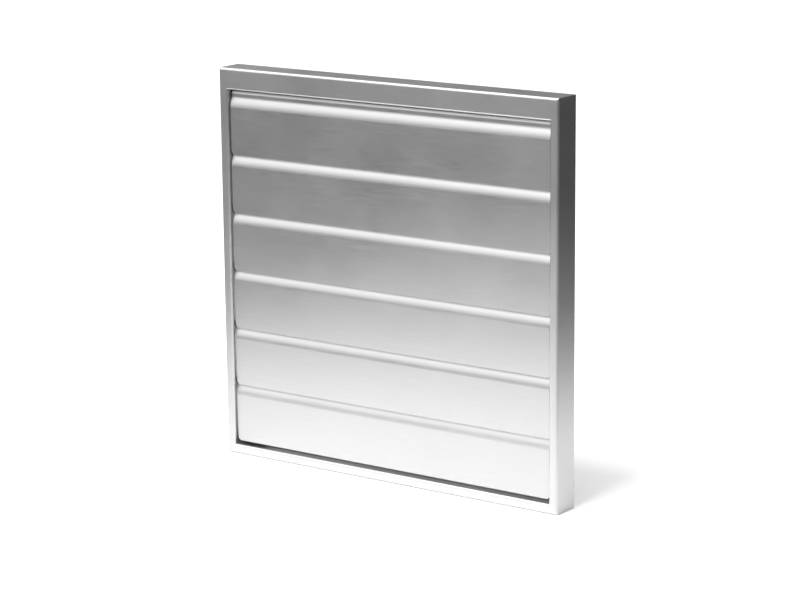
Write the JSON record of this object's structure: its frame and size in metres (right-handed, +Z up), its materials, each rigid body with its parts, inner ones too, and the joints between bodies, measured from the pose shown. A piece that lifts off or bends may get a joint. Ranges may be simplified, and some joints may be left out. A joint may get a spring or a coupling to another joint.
{
  "type": "ventilation grille",
  "caption": "Square wall ventilation grille: overlapping flaps hinged in a folded metal frame open outward in the air stream, linked by a tie bar, and fall shut by their weight.",
  "frame": {"origin": "centre of the wall-side face of the frame, which is also the centre of the four fixing holes", "axes": "+X to the right seen from the front, +Y towards the wall, +Z up"},
  "size_m": [0.35, 0.028, 0.35],
  "materials": {
    "frame": "satin anodised sheet, folded, corners welded and dressed",
    "flap": "satin anodised sheet with a fine rolling grain along the flap",
    "lever": "plain mill-finish folded sheet",
    "link": "plain mill-finish flat bar",
    "steel": "drawn stainless wire, riveted pins",
    "bush": "black moulded acetal"
  },
  "bodies": {
    "frame": {"frame": "frame", "bush_left_1": "bush", "bush_left_2": "bush", "bush_left_3": "bush", "bush_left_4": "bush", "bush_left_5": "bush", "bush_left_6": "bush", "bush_right_1": "bush", "bush_right_2": "bush", "bush_right_3": "bush", "bush_right_4": "bush", "bush_right_5": "bush", "bush_right_6": "bush"},
    "flap_1": {"flap_1": "flap", "axle_1": "steel", "lever_1": "lever", "link_pin_1": "steel"},
    "flap_2": {"flap_2": "flap", "axle_2": "steel", "lever_2": "lever", "link_pin_2": "steel"},
    "flap_3": {"flap_3": "flap", "axle_3": "steel", "lever_3": "lever", "link_pin_3": "steel"},
    "flap_4": {"flap_4": "flap", "axle_4": "steel", "lever_4": "lever", "link_pin_4": "steel"},
    "flap_5": {"flap_5": "flap", "axle_5": "steel", "lever_5": "lever", "link_pin_5": "steel"},
    "flap_6": {"flap_6": "flap", "axle_6": "steel", "lever_6": "lever", "link_pin_6": "steel"},
    "tie_bar": {"tie_bar": "link"}
  },
  "joints": [
    {"name": "flap_1_hinge", "type": "hinge", "parent": "frame", "child": "flap_1", "pos_m": [0, -0.0197, 0.152], "axis": [-1, 0, 0], "range_deg": [0, 80]},
    {"name": "flap_2_hinge", "type": "hinge", "parent": "frame", "child": "flap_2", "pos_m": [0, -0.0197, 0.09983], "axis": [-1, 0, 0], "range_deg": [0, 80]},
    {"name": "flap_3_hinge", "type": "hinge", "parent": "frame", "child": "flap_3", "pos_m": [0, -0.0197, 0.04767], "axis": [-1, 0, 0], "range_deg": [0, 80]},
    {"name": "flap_4_hinge", "type": "hinge", "parent": "frame", "child": "flap_4", "pos_m": [0, -0.0197, -0.0045], "axis": [-1, 0, 0], "range_deg": [0, 80]},
    {"name": "flap_5_hinge", "type": "hinge", "parent": "frame", "child": "flap_5", "pos_m": [0, -0.0197, -0.05667], "axis": [-1, 0, 0], "range_deg": [0, 80]},
    {"name": "flap_6_hinge", "type": "hinge", "parent": "frame", "child": "flap_6", "pos_m": [0, -0.0197, -0.10883], "axis": [-1, 0, 0], "range_deg": [0, 80]},
    {"name": "tie_bar_pivot", "type": "hinge", "parent": "flap_1", "child": "tie_bar", "pos_m": [-0.127, -0.0067, 0.157], "axis": [-1, 0, 0], "range_deg": [-80, 0]}
  ],
  "couplings": [
    {"joint": "flap_2_hinge", "follows": "flap_1_hinge", "ratio": 1},
    {"joint": "flap_3_hinge", "follows": "flap_1_hinge", "ratio": 1},
    {"joint": "flap_4_hinge", "follows": "flap_1_hinge", "ratio": 1},
    {"joint": "flap_5_hinge", "follows": "flap_1_hinge", "ratio": 1},
    {"joint": "flap_6_hinge", "follows": "flap_1_hinge", "ratio": 1},
    {"joint": "tie_bar_pivot", "follows": "flap_1_hinge", "ratio": -1}
  ]
}
